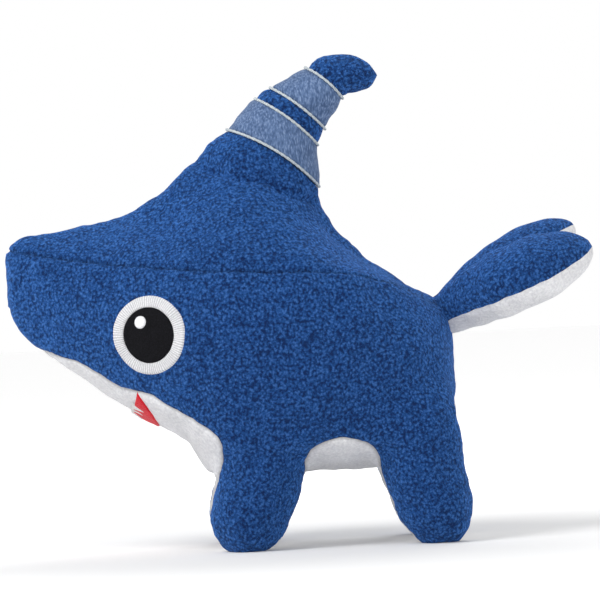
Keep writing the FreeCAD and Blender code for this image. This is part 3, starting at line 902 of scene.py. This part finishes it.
foot = part_of("fin_foot_skin", skin, triangles, skin_normals, is_fleece & in_foot_of_fin)
dress(foot, BLUE, ["fin_base_sleeve"])
bend_with_fin(foot)

for name, hip in HIP.items():
    here = in_leg & (np.sign(middles[:, 0]) == np.sign(hip[0])) & (np.abs(middles[:, 1] - hip[1]) < 30)
    for half, chosen, material, slot in (("outer", is_blue, BLUE, "blue_fleece"),
                                         ("inner", ~is_blue, WHITE, "white_fleece")):
        piece = part_of(name + "_leg_" + half + "_skin", skin, triangles, skin_normals, here & chosen)
        dress(piece, material, [name + "_leg_" + half])
        bend_with_leg(piece)


# ---- swept pieces: fin bands, cords, tail

def grid_quads(rows, count, closed, outward=True):
    """Quads between rows of count points each. If closed, a row's two ends are joined."""
    quads = []
    for i in range(rows - 1):
        for j in range(count if closed else count - 1):
            k = (j + 1) % count
            quad = (i * count + j, i * count + k, (i + 1) * count + k, (i + 1) * count + j)
            quads.append(quad if outward else (quad[0],) + quad[:0:-1])
    return quads


def swept(name, rings, close_end=False):
    """A surface through closed rings of points. It ends in one point if close_end is set."""
    count = len(rings[0])
    surface = [p for ring in rings for p in ring]
    faces = grid_quads(len(rings), count, True)
    if close_end:
        surface.append(np.mean(rings[-1], axis=0))
        last = (len(rings) - 1) * count
        for j in range(count):
            faces.append((last + j, last + (j + 1) % count, len(surface) - 1))
    return new_mesh(name, surface, faces)


AROUND = 132  # points round a fin band
BAND_STEP = 1.2  # spacing of the rings along the fin


def horn_ring(place, inset=0.0, count=AROUND):
    """One ring of the fin, arched on its sides like the trims."""
    centre, along, up, half_long, half_thick = horn_frame(place)
    arch = TRIM_BULGE * max(0.35, 1 - 0.5 * (place - TRIM_ROWS[0]))
    turn = np.linspace(0, 2 * math.pi, count, endpoint=False)
    lengthwise = np.outer(np.cos(turn) * max(half_long - inset, 0.1), along)
    sideways = np.outer(np.sin(turn) * max(half_thick - inset, 0.1), (1.0, 0.0, 0.0))
    return centre + lengthwise + sideways + np.outer(arch * np.sin(turn) ** 2, up)


def horn_band(name, first, last, closed=False):
    """The fabric of the fin between two trims, pulled in at both seams."""
    height = np.linalg.norm(horn_frame(float(last))[0] - horn_frame(float(first))[0])
    rows = max(8, int(height / BAND_STEP))
    rings = []
    for i in range(rows + 1):
        place = first + (last - first) * i / rows
        ring = horn_ring(place)
        middle = ring.mean(axis=0)
        outward = ring - middle
        outward /= np.linalg.norm(outward, axis=1, keepdims=True)
        from_seam = i * height / rows
        if not closed:
            from_seam = min(from_seam, (rows - i) * height / rows)
        pull = seam_valley(np.full(len(ring), from_seam), ring, 1.0)
        puff = 0.35 * waves(ring, 11, 11) + 0.12 * waves(ring, 5, 12)
        fade = min(1.0, np.linalg.norm(ring[0] - middle) / 4)
        rings.append(ring + outward * ((puff - pull) * fade)[:, None])
    return swept(name, rings, closed)


def twisted_cord(name, path, radius=0.56, pitch=2.8):
    """A two-strand cord laid along a closed path."""
    path = np.asarray(path)
    tangent = np.roll(path, -1, axis=0) - np.roll(path, 1, axis=0)
    tangent /= np.linalg.norm(tangent, axis=1, keepdims=True)
    outward = path - path.mean(axis=0)
    outward -= (outward * tangent).sum(1, keepdims=True) * tangent
    outward /= np.linalg.norm(outward, axis=1, keepdims=True)
    across = np.cross(tangent, outward)
    length = np.linalg.norm(np.roll(path, -1, axis=0) - path, axis=1)
    whole = length.sum()
    turns = round(whole / pitch)
    twist = np.cumsum(length) / whole * turns * math.pi * 2
    rings = []
    for i in range(len(path)):
        turn = np.linspace(0, 2 * math.pi, 14, endpoint=False)
        size = radius * (0.72 + 0.38 * np.abs(np.cos(turn - twist[i] / 2)))
        ring = path[i] + np.outer(size * np.cos(turn), outward[i])
        rings.append(ring + np.outer(size * np.sin(turn), across[i]))
    rings.append(rings[0])
    return swept(name, rings)


FIN_PIECES = [
    ("fin_lower_band_skin", 2, 3, False, BAND, "light_blue_plush", "fin_lower_band"),
    ("fin_middle_band_skin", 3, 4, False, BLUE, "blue_fleece", "fin_middle_band"),
    ("fin_upper_band_skin", 4, 5, False, BAND, "light_blue_plush", "fin_upper_band"),
    ("fin_tip_skin", 5, len(HORN) - 1, True, BLUE, "blue_fleece", "fin_tip"),
]
for name, first, last, closed, material, slot, node in FIN_PIECES:
    piece = horn_band(name, first, last, closed)
    dress(piece, material, [node])
    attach(piece, "fin")

TRIM_NODES = ["fin_lowest_trim", "fin_lower_trim", "fin_upper_trim", "fin_top_trim"]
for row, node in zip(TRIM_ROWS, TRIM_NODES):
    piece = twisted_cord(node + "_cord", horn_ring(float(row), 0.15, 420))
    dress(piece, CORD, [node])
    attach(piece, "fin")

# Tail lobe sections along its own axis: distance, half width, half thickness.
LOBE = [(-3, 8.6, 8.6), (8, 10.4, 10.6), (20, 14.4, 12.6), (34, 17.8, 13.6), (48, 18, 13.4),
        (60, 14, 10.4), (66, 9.6, 7.2), (69, 6.2, 4.6), (70.6, 3.2, 2.4), (71.2, 0.3, 0.3)]
LOBE_HEADING = 22.0  # plan angle of a lobe away from the middle
LOBE_DROOP = 16.0  # its outer edge hangs lower than its inner edge
LOBE_BOW = 6.0  # how far it bulges from its straight middle line
TAIL_PITCH = 24.0
TAIL_ROLL = 3.0
RIGHT_CURL = 6.5  # the right lobe's tip curls up this much more
NECK_R = 8.9
LOBE_SEAM_PULL = 0.05  # share of a lobe's width that its edge seam takes in
LOBE_SEAM_HALF = 1.6  # half width of that valley
lobe_at = smooth_curve(LOBE)


def tail_turn():
    """Rotation of the tail from its own frame to its place on the rump."""
    pitch = Matrix.Rotation(math.radians(TAIL_PITCH), 3, "X")
    return np.array(pitch @ Matrix.Rotation(math.radians(TAIL_ROLL), 3, "Y"))


def lobe_rings(sign, inset=0.0, count=96, step=1.4):
    """Rings of one puffed tail lobe in the toy's frame."""
    heading = math.radians(LOBE_HEADING) * sign
    droop = math.radians(LOBE_DROOP) * sign
    ahead = np.array([math.sin(heading), math.cos(heading), 0])
    across = np.array([math.cos(heading), -math.sin(heading), 0])
    wide = across * math.cos(droop) - np.array([0, 0, 1]) * math.sin(droop)
    thick = np.cross(wide, ahead)
    first, last = LOBE[0][0], LOBE[-1][0]
    rings = []
    for distance in np.arange(first + inset, last - inset + 0.01, step):
        half_wide, half_thick = lobe_at(distance)
        bow = LOBE_BOW * math.sin(math.pi * max(distance, 0) / last)
        curl = 0 if sign > 0 else RIGHT_CURL * max(distance / last, 0) ** 3
        centre = ahead * distance + across * (sign * bow) + np.array([0, 0, 1]) * (0.35 * bow + curl)
        turn = np.linspace(0, 2 * math.pi, count, endpoint=False)
        near_seam = np.exp(-(np.abs(np.sin(turn)) * half_thick / LOBE_SEAM_HALF) ** 2)
        pucker = 1 + 0.6 * waves(np.outer(np.full(count, distance), ahead), 5, 21)
        fullness = 1 - LOBE_SEAM_PULL * near_seam * pucker
        fullness = fullness + 0.02 * waves(np.outer(np.cos(turn), wide) * 9 + centre, 9, 22)
        ring = (centre + np.outer(np.cos(turn) * fullness * max(half_wide - inset, 0.3), wide)
                + np.outer(np.sin(turn) * fullness * max(half_thick - inset, 0.3), thick))
        ring[:, 0] = sign * np.maximum(sign * ring[:, 0], 0.05)
        rings.append(ring @ tail_turn().T + TAIL_AT)
    return rings


def half_shell(name, rings, low, high):
    """Part of a swept surface, between two of its lengthwise lines."""
    count = high - low + 1
    order = [j % len(rings[0]) for j in range(low, high + 1)]
    surface = [ring[j] for ring in rings for j in order]
    return new_mesh(name, surface, grid_quads(len(rings), count, False))


for side, sign in (("left", 1), ("right", -1)):
    rings = lobe_rings(sign)
    half = len(rings[0]) // 2
    whole_end = np.mean(rings[-1], axis=0)
    rings.append(np.repeat(whole_end[None], len(rings[0]), axis=0))
    for part, low, material, slot in (("upper", 0, BLUE, "blue_fleece"),
                                      ("lower", half, WHITE, "white_fleece")):
        name = "tail_" + side + "_lobe_" + part
        piece = half_shell(name + "_skin", rings, low, low + half)
        dress(piece, material, [name + "_panel"])
        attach(piece, "tail")
    fill = swept("tail_" + side + "_lobe_filling", lobe_rings(sign, 2.5, 24, 5.0), True)
    dress(fill, FIBRE, ["tail_" + side + "_lobe_stuffing"])
    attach(fill, "tail")

bpy.ops.mesh.primitive_uv_sphere_add(segments=64, ring_count=32, radius=NECK_R * MM,
                                     location=(TAIL_AT * MM).tolist())
neck = bpy.context.object
neck.name = "tail_neck_skin"
bpy.ops.object.shade_smooth()
dress(neck, BLUE, ["tail_neck"])
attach(neck, "tail_neck")


# ---- face

surface_tree = BVHTree.FromPolygons(skin.tolist(), triangles.tolist())


def laid_on(points, direction, lift):
    """Drops points along a direction onto the fabric, then lifts them off it again."""
    direction = Vector(direction).normalized()
    placed = []
    for point, rise in zip(points, lift):
        start = Vector(point) - direction * DROP
        place, normal, _, _ = surface_tree.ray_cast(start, direction)
        placed.append(place + normal * rise if place is not None else Vector(point))
    return placed


def edge_rise(distance, height, rounding):
    """Height of a patch near its edge, which starts just under the fabric and rounds up."""
    t = np.clip(distance / rounding, 0, 1)
    return (height + EDGE_SUNK) * np.sqrt(1 - (1 - t) ** 2) - EDGE_SUNK


DROP = 60.0  # patches fall onto the fabric from this far away
EDGE_SUNK = 0.25  # a patch's edge starts this far under the fabric
EYE_R = 16.6  # outside of the satin ring
PUPIL_R = 12.1
GLINT_R = 2.9
GLINT_AT = (0.0, -3.6, 5.5)  # from the eye's centre
EYE_CENTRE = (38.0, -63.5, 92.7)  # the left eye's; the right eye mirrors it
EYE_LOOK = (0.88, -0.47, 0.0)  # direction in which it faces
STITCH_RISE = 0.3  # how far the satin stitches stand up


def eye_grid(sign, centre, inner, outer, rings, spokes):
    """Points of a flat ring or disc that faces the way an eye looks."""
    look = np.array([sign * EYE_LOOK[0], EYE_LOOK[1], EYE_LOOK[2]])
    look /= np.linalg.norm(look)
    side = np.cross([0, 0, 1], look)
    side /= np.linalg.norm(side)
    grid = []
    for i in range(rings + 1):
        radius = inner + (outer - inner) * i / rings
        turn = np.linspace(0, 2 * math.pi, spokes, endpoint=False)
        sideways = centre + np.outer(radius * np.cos(turn), side)
        grid.append(sideways + np.outer(radius * np.sin(turn), [0, 0, 1]))
    return np.array(grid), look


def eye_piece(name, sign, centre, inner, outer, height, stitches, rounding):
    """One embroidered or felt layer of an eye."""
    rings = 14
    spokes = max(96, 4 * stitches)
    grid, look = eye_grid(sign, centre, inner, outer, rings, spokes)
    across = np.linspace(inner, outer, rings + 1)
    gap = outer - across if inner == 0 else np.minimum(outer - across, across - inner)
    rise = np.repeat(edge_rise(gap, height, rounding), spokes)
    ridge = np.ones(len(rise))
    if stitches:
        turn = np.tile(np.arange(spokes) / spokes, rings + 1)
        wander = 0.12 * np.sin(14 * math.pi * turn) + 0.10 * np.sin(26 * math.pi * turn)
        ridge = 0.5 + 0.5 * np.cos(2 * math.pi * (stitches * turn + wander))
        rise = rise + STITCH_RISE * (ridge - 0.5) * (rise > 0)
    placed = laid_on(grid.reshape(-1, 3), -look, rise)
    piece = new_mesh(name, [list(p) for p in placed], grid_quads(rings + 1, spokes, True, False))
    # Painted shade in the dips between the satin stitches.
    mark_seams(piece, 1 - ridge)
    return piece


for side, sign in (("left", 1), ("right", -1)):
    centre = np.array(EYE_CENTRE) * (sign, 1, 1)
    spot = centre + np.array(GLINT_AT)
    layers = [("ring", centre, PUPIL_R - 0.8, EYE_R, 0.8, 96, 1.6, SATIN, "white_satin", "_eye_ring"),
              ("pupil", centre, 0, PUPIL_R, 0.75, 0, 0.9, FELT_BLACK, "black_felt", "_pupil"),
              ("glint", spot, 0, GLINT_R, 1.35, 0, 1.2, SATIN, "white_satin", "_eye_glint")]
    for part, middle, inner, outer, height, stitches, rounding, material, slot, node in layers:
        name = side + "_eye_" + part + "_patch"
        piece = eye_piece(name, sign, middle, inner, outer, height, stitches, rounding)
        dress(piece, material, [side + node])
        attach(piece, "torso")

MOUTH_TURN = math.radians(52)  # the mouth reaches this far round the chin from its keel
MOUTH_AXIS_Z = 95.0  # height of the line that it bends round
MOUTH_FRONT = -73.5  # y of the front lip's middle
MOUTH_BACK = -62.5
MOUTH_CORNER = -71.0
TEETH = 6
TOOTH_TURN = math.radians(13.6)  # from one tooth to the next
TOOTH_HALF = math.radians(5.4)  # half of a tooth's root
TOOTH_LENGTH = 5.5
TOOTH_LAP = 0.8  # a tooth's root starts this far in front of the lip
TOOTH_LIFT = 0.4  # and lies this far above the red felt's foot


def mouth_lines(turn):
    """Front and back lip of the mouth at an angle round the chin."""
    share = 1 - np.abs(turn / MOUTH_TURN) ** 3
    front = MOUTH_CORNER + (MOUTH_FRONT - MOUTH_CORNER) * share
    return front, MOUTH_CORNER + (MOUTH_BACK - MOUTH_CORNER) * share


def laid_round_chin(turns, ys, lift):
    """Drops points inward onto the chin from all round its axis."""
    placed = []
    for turn, y, rise in zip(turns, ys, lift):
        outward = Vector((math.sin(turn), 0, -math.cos(turn)))
        placed += laid_on([Vector((0, y, MOUTH_AXIS_Z)) + outward * 30], -outward, [rise])
    return placed


def mouth_patch():
    """The red felt crescent under the chin."""
    columns, rows = 110, 22
    turns, ys, rise = [], [], []
    for i in range(columns + 1):
        turn = MOUTH_TURN * math.sin(math.pi / 2 * (2 * i / columns - 1))
        front, back = mouth_lines(turn)
        for j in range(rows + 1):
            y = front + (back - front) * j / rows
            turns.append(turn)
            ys.append(y)
            gap = min(y - front, back - y)
            rise.append(float(edge_rise(np.array(gap), 0.6, 0.7)))
    placed = laid_round_chin(turns, ys, rise)
    return new_mesh("mouth_felt", [list(p) for p in placed], grid_quads(columns + 1, rows + 1, False))


def tooth_patches():
    """Small felt triangles along the front lip, as one row."""
    turns, ys, rise, faces = [], [], [], []
    count = 12
    for index in range(TEETH):
        middle = (index - (TEETH - 1) / 2) * TOOTH_TURN
        root = mouth_lines(middle)[0] - TOOTH_LAP
        start = len(turns)
        for i in range(count + 1):
            t = i / count
            half = TOOTH_HALF * (1 - t)
            for j in range(count + 1):
                across = 2 * j / count - 1
                turns.append(middle + half * across)
                ys.append(root + TOOTH_LENGTH * t)
                gap = min(36 * half * (1 - abs(across)), TOOTH_LENGTH * t, TOOTH_LENGTH * (1 - t) * 0.5)
                rise.append(TOOTH_LIFT + float(edge_rise(np.array(gap), 0.5, 0.6)))
        for quad in grid_quads(count + 1, count + 1, False, False):
            faces.append([start + corner for corner in quad])
    placed = laid_round_chin(turns, ys, rise)
    return new_mesh("tooth_felt", [list(p) for p in placed], faces)


for piece, material, slot, node in ((mouth_patch(), FELT_RED, "red_felt", "mouth_patch"),
                                    (tooth_patches(), FELT_WHITE, "white_felt", "teeth")):
    dress(piece, material, [node])
    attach(piece, "torso")


# ---- filling

WALL = 4.0  # fabric and seam allowance round the filling
COARSE = 5.0


def fill_piece(name, field, node):
    """A plain lump of filling inside a field's surface."""
    low = (-11.5 * COARSE, NOSE_Y - COARSE, -COARSE)
    high = (11.5 * COARSE, RUMP_Y + COARSE, 200.0)
    inside, quads = surface_net(field, low, high, COARSE)
    inside = settle(field, inside, 3)
    piece = new_mesh(name, inside, quads)
    return dress(piece, FIBRE, [node])


def torso_fill(p):
    """Filling of the torso, up to just under the fold."""
    return np.maximum(torso_field(p) + WALL, (p - FOLD) @ FOLD_UP + FOLD_DEPTH / 2)


def foot_fill(p):
    """Filling of the fin's foot, from just above the torso's filling to the lowest trim."""
    under = -((p - FOLD) @ FOLD_UP + FOLD_DEPTH / 2 - 0.5)
    return np.maximum(torso_field(p) + WALL, np.maximum(under, 0.5 - below_trim(p)))


piece = fill_piece("torso_filling", torso_fill, "torso_stuffing")
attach(piece, "torso")
piece = fill_piece("fin_foot_filling", foot_fill, "fin_root_stuffing")
bend_with_fin(piece)
for name, first, last, node in (("fin_filling", 2.05, 4.95, "fin_stuffing"),
                                ("fin_tip_filling", 5.05, 8.2, "fin_tip_stuffing")):
    piece = swept(name, [horn_ring(place, WALL, 24) for place in np.linspace(first, last, 9)], True)
    dress(piece, FIBRE, [node])
    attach(piece, "fin")
for name in HIP:
    def leg_fill(p, name=name):
        return np.maximum(leg_field(p, name) + WALL, np.maximum(0.5 - torso_field(p), WALL - p[:, 2]))
    piece = fill_piece(name + "_leg_filling", leg_fill, name + "_leg_stuffing")
    bend_with_leg(piece)


# ---- stage, light and camera

def paper():
    """The pale backdrop, which glows a little away from the toy so that it fades to white."""
    material = bpy.data.materials.new("backdrop_look")
    material.use_nodes = True
    tree = material.node_tree
    shader = tree.nodes["Principled BSDF"]
    grain = add_node(tree, "TexNoise", Scale=40.0)
    level = add_node(tree, "MapRange", To_Min=0.79, To_Max=0.81)
    tree.links.new(grain.outputs["Fac"], level.inputs["Value"])
    tree.links.new(level.outputs["Result"], shader.inputs["Base Color"])
    where = tree.nodes.new("ShaderNodeTexCoord")
    reach = tree.nodes.new("ShaderNodeVectorMath")
    reach.operation = "LENGTH"
    glow = add_node(tree, "MapRange", From_Min=0.10, From_Max=0.45, To_Min=0.06, To_Max=0.50)
    glow.interpolation_type = "SMOOTHSTEP"
    tree.links.new(where.outputs["Object"], reach.inputs[0])
    tree.links.new(reach.outputs["Value"], glow.inputs["Value"])
    tree.links.new(glow.outputs["Result"], shader.inputs["Emission Color"])
    shader.inputs["Emission Strength"].default_value = 1.0
    shader.inputs["Roughness"].default_value = 0.9
    return material


bpy.ops.mesh.primitive_plane_add(size=8.0, location=(0, 0, 0))
floor = bpy.context.object
floor.name = "floor"
floor.data.materials.append(paper())
floor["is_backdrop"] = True

world = bpy.data.worlds.new("studio")
bpy.context.scene.world = world
world.use_nodes = True
sky = world.node_tree
background = sky.nodes["Background"]
background.inputs["Color"].default_value = (1, 1, 1, 1)
direction = sky.nodes.new("ShaderNodeTexCoord")
parts = sky.nodes.new("ShaderNodeSeparateXYZ")
dimming = add_node(sky, "MapRange", From_Min=0.25, From_Max=0.60, To_Min=1.0, To_Max=0.45)
dimming.interpolation_type = "SMOOTHSTEP"
sky.links.new(direction.outputs["Generated"], parts.inputs["Vector"])
sky.links.new(parts.outputs["Z"], dimming.inputs["Value"])
sky.links.new(dimming.outputs["Result"], background.inputs["Strength"])
bpy.context.scene.view_settings.view_transform = "Standard"


def soft_box(name, place, aim, size, power):
    """A large soft light."""
    data = bpy.data.lights.new(name, "AREA")
    data.shape = "SQUARE"
    data.size = size
    data.energy = power
    lamp = bpy.data.objects.new(name, data)
    bpy.context.collection.objects.link(lamp)
    lamp.location = place
    lamp.rotation_euler = (Vector(aim) - Vector(place)).to_track_quat("-Z", "Y").to_euler()
    return lamp


soft_box("key_light", (0.6, -0.75, 1.15), (0, 0, 0.1), 0.6, 13)
soft_box("fill_light", (1.1, 0.9, 0.5), (0, 0, 0.1), 0.9, 2.2)
soft_box("rim_light", (-0.8, 0.3, 1.0), (0, 0, 0.1), 0.7, 5)

VIEW_AZIMUTH = 89.0
VIEW_HEIGHT = 0.8
VIEW_ROLL = 2.64
LENS = 300.0
VIEW_WIDTH = 0.2555  # what the picture's width takes in at the object
VIEW_CENTRE = (0.0, -0.0005, 0.1039)


def camera():
    """The camera at the photograph's angle."""
    data = bpy.data.cameras.new("camera")
    data.lens = LENS
    data.clip_start = 0.05
    view = bpy.data.objects.new("camera", data)
    bpy.context.collection.objects.link(view)
    azimuth, height = math.radians(VIEW_AZIMUTH), math.radians(VIEW_HEIGHT)
    level = math.cos(height)
    back = Vector((math.sin(azimuth) * level, -math.cos(azimuth) * level, math.sin(height)))
    distance = VIEW_WIDTH * LENS / data.sensor_width
    view.location = Vector(VIEW_CENTRE) + back * distance
    aim = (-back).to_track_quat("-Z", "Y").to_matrix().to_4x4()
    view.rotation_euler = (aim @ Matrix.Rotation(math.radians(-VIEW_ROLL), 4, "Z")).to_euler()
    bpy.context.scene.camera = view


camera()
low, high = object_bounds()
